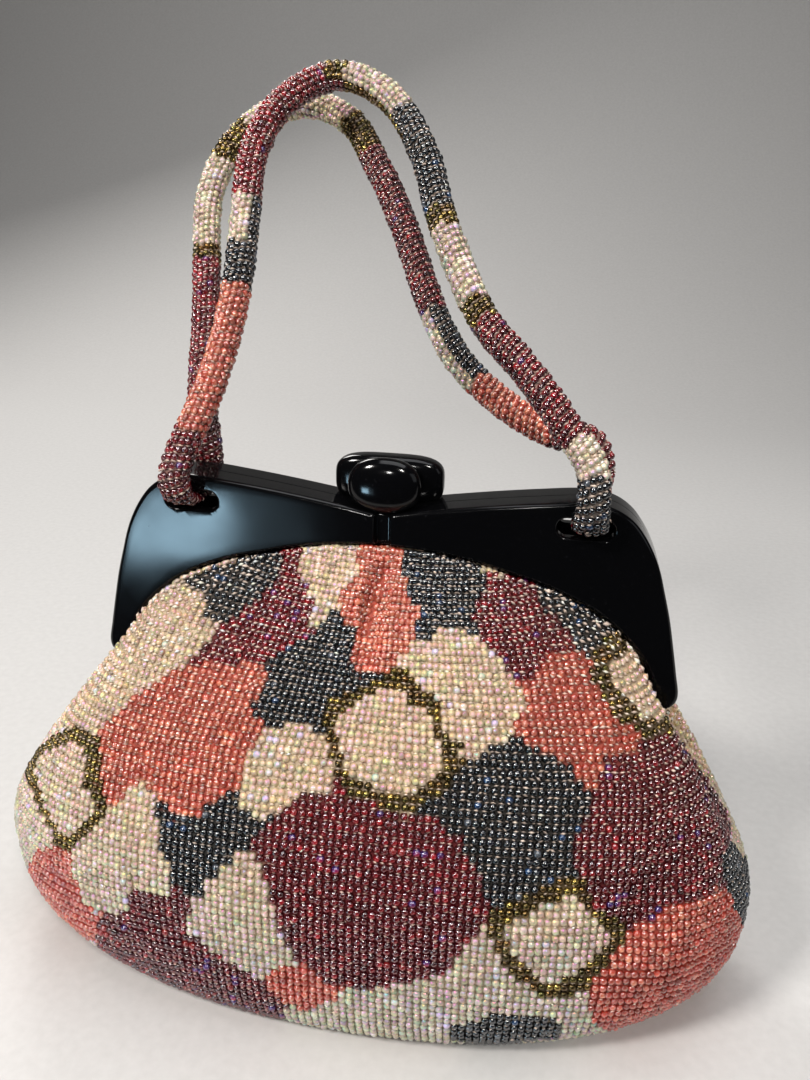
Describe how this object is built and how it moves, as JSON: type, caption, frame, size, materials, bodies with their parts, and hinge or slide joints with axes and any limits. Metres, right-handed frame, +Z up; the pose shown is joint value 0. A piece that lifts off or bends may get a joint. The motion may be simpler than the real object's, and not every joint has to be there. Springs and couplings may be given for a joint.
{
  "type": "beaded handbag",
  "caption": "Soft bead-knit handbag on a glossy moulded frame with a two-lobe clasp and bead-covered rope handles; it stands on a flat bottom.",
  "frame": {"origin": "middle of the bag's flat bottom, under the frame's middle", "axes": "+Z up, front of the bag facing -Y, +X to the right seen from the front"},
  "size_m": [0.2415, 0.1528, 0.2727],
  "materials": {
    "frame_plastic": "polished black",
    "hinge_steel": "plain",
    "knit_ground": "fine yarn between the beads",
    "bead_cream": "pearl lustre",
    "bead_coral": "lustre",
    "bead_garnet": "iris lustre",
    "bead_navy": "iris lustre",
    "bead_bronze": "dark metallic"
  },
  "bodies": {
    "root": {"front_frame": "frame_plastic", "back_frame": "frame_plastic", "clasp_front_lobe": "frame_plastic", "clasp_back_lobe": "frame_plastic", "hinge_pin_left": "hinge_steel", "hinge_pin_right": "hinge_steel", "pouch": "knit_ground", "front_handle": "bead_garnet", "back_handle": "bead_garnet"}
  },
  "joints": []
}
